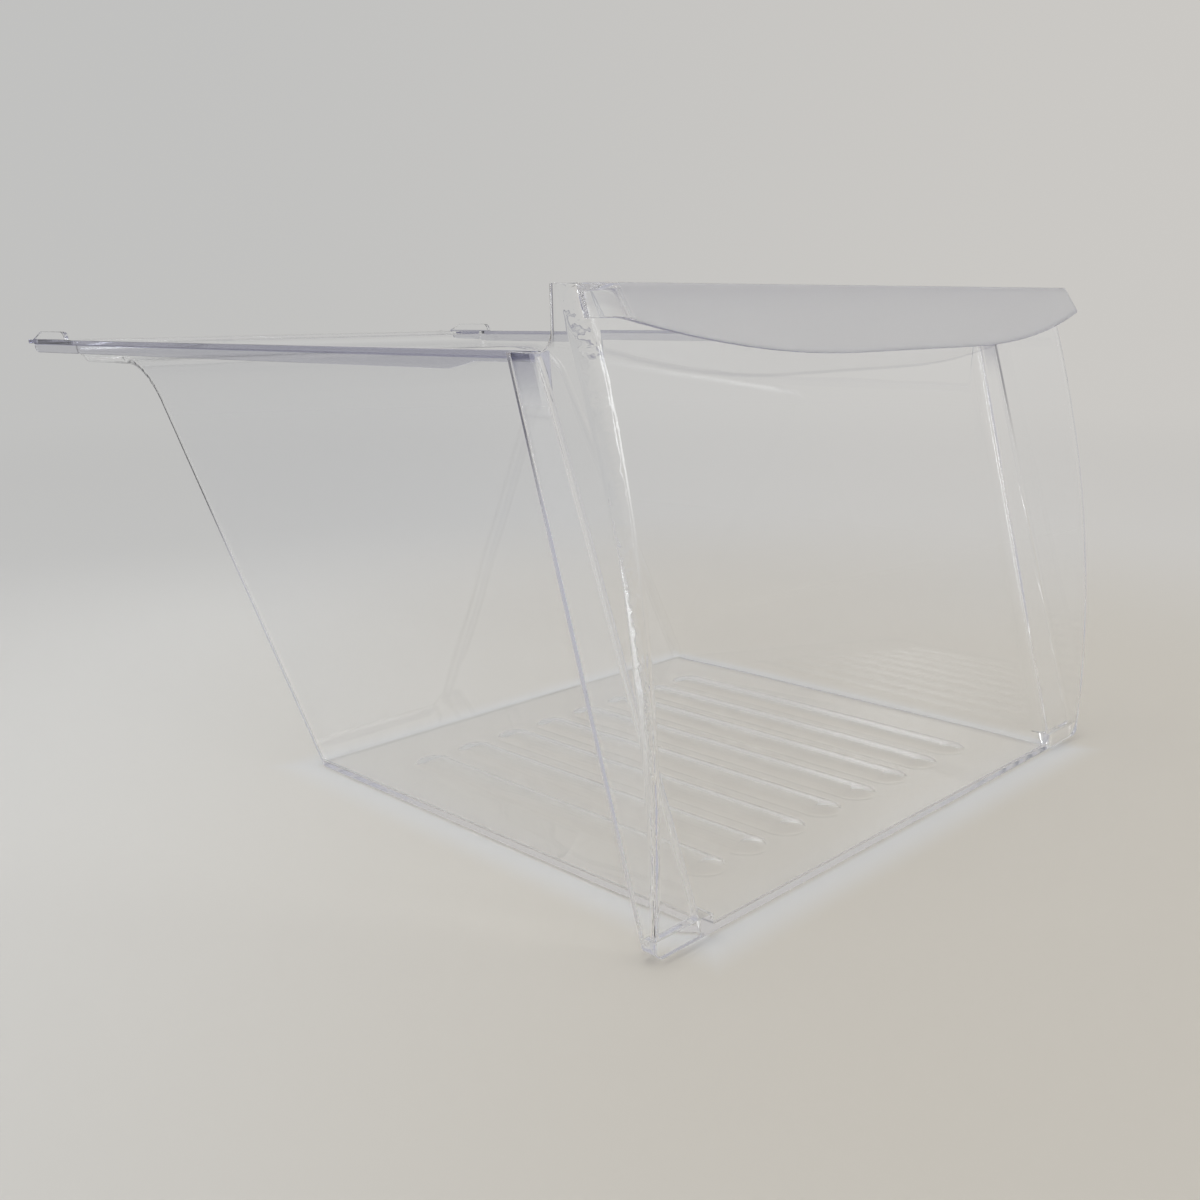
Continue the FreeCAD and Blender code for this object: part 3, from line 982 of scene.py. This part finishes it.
class CRISPER_OT_camera(bpy.types.Operator):
    """Stand the camera where the picture is taken from"""

    bl_idname = "crisper.camera"
    bl_label = "Place the camera"

    def execute(self, context):
        settings = context.scene.crisper_camera
        ahead_flat = Vector((math.cos(settings.heading), math.sin(settings.heading), 0.0))
        right_flat = Vector((math.sin(settings.heading), -math.cos(settings.heading), 0.0))
        up = Vector((0.0, 0.0, 1.0))
        ahead = math.cos(settings.tilt) * ahead_flat - math.sin(settings.tilt) * up
        down_flat = -math.sin(settings.tilt) * ahead_flat - math.cos(settings.tilt) * up
        right = math.cos(settings.roll) * right_flat + math.sin(settings.roll) * down_flat
        down = -math.sin(settings.roll) * right_flat + math.cos(settings.roll) * down_flat
        turn = Matrix((right, -down, -ahead)).transposed()

        data = bpy.data.cameras.new("view")
        data.sensor_fit = "HORIZONTAL"
        data.sensor_width = SENSOR_WIDTH
        data.lens = settings.focal_pixels * SENSOR_WIDTH / IMAGE_SIDE
        data.clip_start = NEAR_LIMIT
        data.clip_end = FAR_LIMIT
        camera = bpy.data.objects.new("view", data)
        camera.matrix_world = Matrix.Translation(settings.place) @ turn.to_4x4()
        context.collection.objects.link(camera)
        context.scene.camera = camera
        return {"FINISHED"}


# ---------------------------------------------------------------- panel


class CRISPER_PT_drawer(bpy.types.Panel):
    """Sizes, colours and steps of the crisper drawer"""

    bl_idname = "CRISPER_PT_drawer"
    bl_label = "Crisper Drawer"
    bl_space_type = "VIEW_3D"
    bl_region_type = "UI"
    bl_category = "Crisper"

    def draw(self, context):
        groups = (
            (MouldingSettings, "crisper_moulding", CRISPER_OT_moulding),
            (PlasticSettings, "crisper_plastic", None),
            (StageSettings, "crisper_stage", CRISPER_OT_stage),
            (CameraSettings, "crisper_camera", CRISPER_OT_camera),
        )
        for group, owner, operator in groups:
            box = self.layout.box()
            for name in group.__annotations__:
                box.prop(getattr(context.scene, owner), name)
            if operator:
                box.operator(operator.bl_idname)


CLASSES = (
    MouldingSettings,
    PlasticSettings,
    StageSettings,
    CameraSettings,
    CRISPER_OT_moulding,
    CRISPER_OT_stage,
    CRISPER_OT_camera,
    CRISPER_PT_drawer,
)


def register():
    for cls in CLASSES:
        bpy.utils.register_class(cls)
    bpy.types.Scene.crisper_moulding = PointerProperty(type=MouldingSettings)
    bpy.types.Scene.crisper_plastic = PointerProperty(type=PlasticSettings)
    bpy.types.Scene.crisper_stage = PointerProperty(type=StageSettings)
    bpy.types.Scene.crisper_camera = PointerProperty(type=CameraSettings)


def unregister():
    del bpy.types.Scene.crisper_camera
    del bpy.types.Scene.crisper_stage
    del bpy.types.Scene.crisper_plastic
    del bpy.types.Scene.crisper_moulding
    for cls in reversed(CLASSES):
        bpy.utils.unregister_class(cls)


def main():
    register()
    bpy.ops.crisper.camera()
    bpy.ops.crisper.stage()
    bpy.ops.crisper.moulding()


if __name__ == "__main__":
    main()
